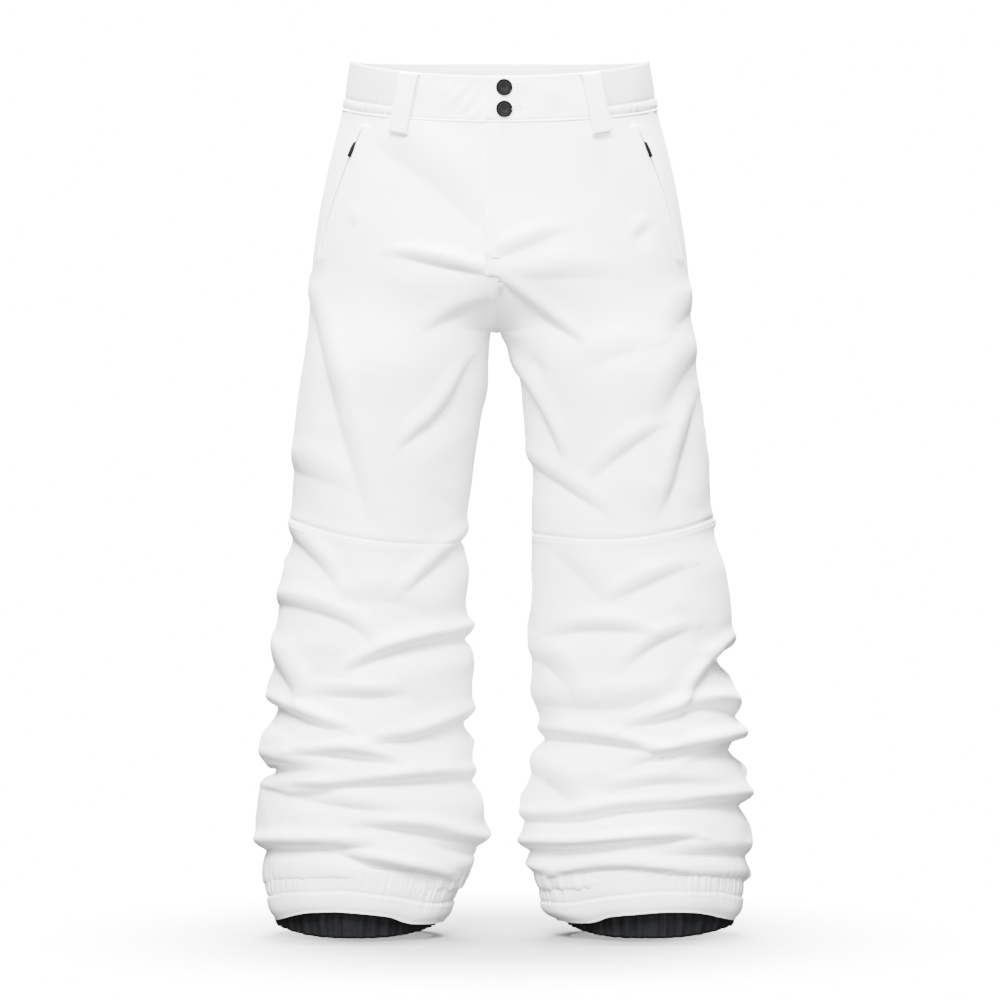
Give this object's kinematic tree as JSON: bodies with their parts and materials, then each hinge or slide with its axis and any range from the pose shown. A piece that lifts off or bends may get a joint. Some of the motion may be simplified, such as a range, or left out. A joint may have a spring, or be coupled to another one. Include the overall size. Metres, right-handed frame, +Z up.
{
  "type": "ski pants",
  "caption": "Padded ski pants: stretch-sided waistband with two tack buttons, zip fly, zipped side pockets, legs that bend at hip and knee, gathered cuffs and inner snow gaiters.",
  "frame": {"origin": "middle of the waist opening, level with the top edge at the sides", "axes": "+Z up, +X to the wearer's left, the front faces -Y"},
  "size_m": [0.5224, 0.265, 0.9341],
  "materials": {
    "shell_cloth": "white twill with a faint satin sheen, padded inside",
    "lining_cloth": "smooth light grey lining",
    "stretch_knit": "light grey ribbed stretch knit",
    "webbing": "woven rubber webbing",
    "gaiter_cloth": "black plain weave",
    "grip_band": "black gripper elastic",
    "button_metal": "near-black satin paint",
    "tack_metal": "plain tack",
    "zip_tape": "white woven tape",
    "zip_teeth": "moulded teeth",
    "zip_metal": "dull painted die-cast zinc",
    "pull_plastic": "near-black moulded"
  },
  "bodies": {
    "root": {"waistband_front_left": "shell_cloth", "waistband_front_right": "shell_cloth", "waistband_back": "shell_cloth", "waistband_piping": "shell_cloth", "belt_loop_front_left": "shell_cloth", "belt_loop_front_right": "shell_cloth", "belt_loop_back_left": "shell_cloth", "belt_loop_back_right": "shell_cloth", "front_panel_left": "shell_cloth", "front_panel_right": "shell_cloth", "back_panel_left": "shell_cloth", "back_panel_right": "shell_cloth", "back_yoke": "shell_cloth", "crotch_gusset": "shell_cloth", "fly_bartack": "shell_cloth", "pocket_left_welt": "shell_cloth", "pocket_right_welt": "shell_cloth", "elastic_casing_left": "stretch_knit", "elastic_casing_right": "stretch_knit", "elastic_core_left": "webbing", "elastic_core_right": "webbing", "waistband_facing": "lining_cloth", "fly_facing": "lining_cloth", "fly_shield": "lining_cloth", "pocket_bag_left": "lining_cloth", "pocket_bag_right": "lining_cloth", "button_tack_top": "tack_metal", "button_tack_low": "tack_metal", "fly_zip_teeth": "zip_teeth", "fly_zip_tapes": "zip_tape", "pocket_left_zip_teeth": "zip_teeth", "pocket_left_zip_tapes": "zip_tape", "pocket_right_zip_teeth": "zip_teeth", "pocket_right_zip_tapes": "zip_tape", "hip_cloth_left": "shell_cloth", "hip_cloth_right": "shell_cloth"},
    "thigh_left": {"thigh_front_left": "shell_cloth", "thigh_back_left": "shell_cloth", "knee_cloth_left": "shell_cloth"},
    "shin_left": {"shin_front_left": "shell_cloth", "shin_back_left": "shell_cloth", "hem_cuff_left": "shell_cloth", "snow_gaiter_left": "gaiter_cloth", "gaiter_grip_left": "grip_band"},
    "pocket_slider_left": {"pocket_left_zip_slider": "zip_metal"},
    "pocket_pull_left": {"pocket_left_zip_pull": "pull_plastic"},
    "thigh_right": {"thigh_front_right": "shell_cloth", "thigh_back_right": "shell_cloth", "knee_cloth_right": "shell_cloth"},
    "shin_right": {"shin_front_right": "shell_cloth", "shin_back_right": "shell_cloth", "hem_cuff_right": "shell_cloth", "snow_gaiter_right": "gaiter_cloth", "gaiter_grip_right": "grip_band"},
    "pocket_slider_right": {"pocket_right_zip_slider": "zip_metal"},
    "pocket_pull_right": {"pocket_right_zip_pull": "pull_plastic"},
    "fly_slider": {"fly_zip_slider": "zip_metal"},
    "fly_pull": {"fly_zip_pull": "pull_plastic"},
    "button_top": {"waist_button_top": "button_metal"},
    "button_low": {"waist_button_low": "button_metal"}
  },
  "joints": [
    {"name": "hip_left", "type": "hinge", "parent": "root", "child": "thigh_left", "pos_m": [0, 0, -0.2], "axis": [-1, 0, 0], "range_deg": [-15, 70], "deforming": ["hip_cloth_left"]},
    {"name": "knee_left", "type": "hinge", "parent": "thigh_left", "child": "shin_left", "pos_m": [0, 0, -0.56], "axis": [1, 0, 0], "range_deg": [0, 80], "deforming": ["knee_cloth_left"]},
    {"name": "hip_right", "type": "hinge", "parent": "root", "child": "thigh_right", "pos_m": [0, 0, -0.2], "axis": [-1, 0, 0], "range_deg": [-15, 70], "deforming": ["hip_cloth_right"]},
    {"name": "knee_right", "type": "hinge", "parent": "thigh_right", "child": "shin_right", "pos_m": [0, 0, -0.56], "axis": [1, 0, 0], "range_deg": [0, 80], "deforming": ["knee_cloth_right"]},
    {"name": "pocket_left_zip", "type": "slide", "parent": "root", "child": "pocket_slider_left", "axis": [0.3164, 0.1672, -0.9338], "range_m": [0, 0.1099]},
    {"name": "pocket_left_pull", "type": "hinge", "parent": "pocket_slider_left", "child": "pocket_pull_left", "pos_m": [0.14464, -0.05984, -0.0907], "axis": [-0.5172, -0.7948, -0.3176], "range_deg": [0, 140]},
    {"name": "pocket_right_zip", "type": "slide", "parent": "root", "child": "pocket_slider_right", "axis": [-0.3164, 0.1672, -0.9338], "range_m": [0, 0.1099]},
    {"name": "pocket_right_pull", "type": "hinge", "parent": "pocket_slider_right", "child": "pocket_pull_right", "pos_m": [-0.14464, -0.05984, -0.0907], "axis": [-0.5172, 0.7948, 0.3176], "range_deg": [0, 140]},
    {"name": "fly_zip", "type": "slide", "parent": "root", "child": "fly_slider", "axis": [-0.0036, -0.0891, -0.996], "range_m": [0, 0.1168]},
    {"name": "fly_pull", "type": "hinge", "parent": "fly_slider", "child": "fly_pull", "pos_m": [-0.00258, -0.10769, -0.08924], "axis": [-0.9999, 0.0104, 0.0027], "range_deg": [0, 10]},
    {"name": "button_top_turn", "type": "hinge", "parent": "root", "child": "button_top", "pos_m": [0.00422, -0.11184, -0.04115], "axis": [0.018, -0.9971, 0.0735], "continuous": true},
    {"name": "button_low_turn", "type": "hinge", "parent": "root", "child": "button_low", "pos_m": [0.00432, -0.11357, -0.06366], "axis": [0.0179, -0.9966, 0.0804], "continuous": true}
  ]
}
